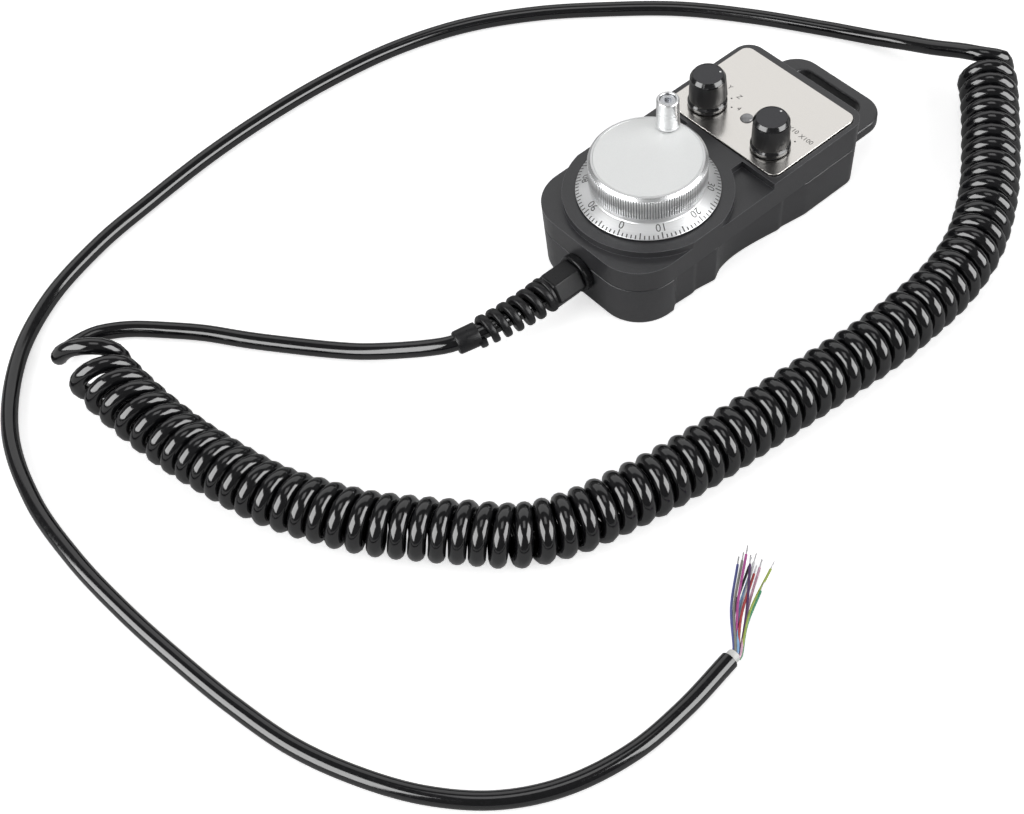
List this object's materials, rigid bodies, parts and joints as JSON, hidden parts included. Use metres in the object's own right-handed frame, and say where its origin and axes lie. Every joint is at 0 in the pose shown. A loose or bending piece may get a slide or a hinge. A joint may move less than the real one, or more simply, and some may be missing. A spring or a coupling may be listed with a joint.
{
  "type": "pulse generator handwheel",
  "caption": "Hand-held pulse generator pendant with a graduated crank wheel, two rotary selector knobs, a hanger loop and a coiled cable with a bare end.",
  "frame": {"origin": "on the flat back face of the case, on the axis of the handwheel", "axes": "+Z out of the panel along the handwheel's axis, +Y towards the hanger loop, +X to the right with the loop at the top"},
  "size_m": [0.3554, 0.4527, 0.0684],
  "materials": {
    "case_plastic": "Finely textured black moulded plastic.",
    "seal_rubber": "Soft black seal in the parting line.",
    "screw_steel": "Zinc-plated steel screws and nuts.",
    "plate_steel": "Brushed stainless plate with printed switch marks.",
    "lamp_plastic": "Milky grey lamp lens, unlit.",
    "inner_plastic": "Black moulded plastic inside the case.",
    "bearing_steel": "Ground bearing steel.",
    "board_green": "Green circuit board.",
    "wheel_aluminium": "Turned and satin anodised aluminium, engraved scale.",
    "code_disc_steel": "Thin etched steel code disc.",
    "knob_plastic": "Glossy black moulded knob with a white pointer dot.",
    "switch_plastic": "Blue moulded switch body.",
    "gland_nylon": "Black nylon.",
    "cable_jacket": "Glossy black polyurethane jacket.",
    "core_plastic": "White inner sheath.",
    "wire_plastic": "Thin coloured wires with tinned tips."
  },
  "bodies": {
    "case": {"rear_case": "case_plastic", "top_cover": "case_plastic", "case_seal": "seal_rubber", "case_screws": "screw_steel", "panel_plate": "plate_steel", "led_lens": "lamp_plastic", "led_holder": "inner_plastic", "encoder_housing": "inner_plastic", "encoder_lid": "inner_plastic", "encoder_bearings": "bearing_steel", "encoder_board": "board_green", "optical_sensor": "inner_plastic", "encoder_terminals": "inner_plastic", "encoder_screws": "screw_steel", "detent_plunger": "bearing_steel", "axis_switch": "switch_plastic", "axis_switch_nut": "screw_steel", "multiplier_switch": "switch_plastic", "multiplier_switch_nut": "screw_steel", "gland_body": "gland_nylon", "gland_locknut": "gland_nylon", "gland_seal": "seal_rubber", "gland_nut": "gland_nylon", "strain_relief": "gland_nylon", "cable_lead": "cable_jacket", "cable_coil": "cable_jacket", "cable_tail": "cable_jacket", "cable_core": "core_plastic", "cable_wires": "wire_plastic"},
    "wheel": {"handwheel": "wheel_aluminium", "wheel_cap": "wheel_aluminium", "wheel_screw": "screw_steel", "encoder_shaft": "bearing_steel", "code_disc": "code_disc_steel", "detent_wheel": "bearing_steel", "crank_screw": "screw_steel", "crank_washer": "screw_steel"},
    "crank": {"crank_sleeve": "wheel_aluminium"},
    "axis_selector": {"axis_switch_shaft": "bearing_steel", "axis_knob": "knob_plastic", "axis_knob_cap": "knob_plastic"},
    "multiplier_selector": {"multiplier_switch_shaft": "bearing_steel", "multiplier_knob": "knob_plastic", "multiplier_knob_cap": "knob_plastic"}
  },
  "joints": [
    {"name": "wheel_spin", "type": "hinge", "parent": "case", "child": "wheel", "pos_m": [0, 0, 0.045], "axis": [0, 0, 1], "continuous": true},
    {"name": "crank_spin", "type": "hinge", "parent": "wheel", "child": "crank", "pos_m": [-0.00711, 0.01816, 0.06], "axis": [0, 0, 1], "continuous": true},
    {"name": "axis_select", "type": "hinge", "parent": "case", "child": "axis_selector", "pos_m": [-0.0185, 0.0523, 0.045], "axis": [0, 0, 1], "range_deg": [-30, 90]},
    {"name": "multiplier_select", "type": "hinge", "parent": "case", "child": "multiplier_selector", "pos_m": [0.0185, 0.0523, 0.045], "axis": [0, 0, 1], "range_deg": [-30, 30]}
  ]
}
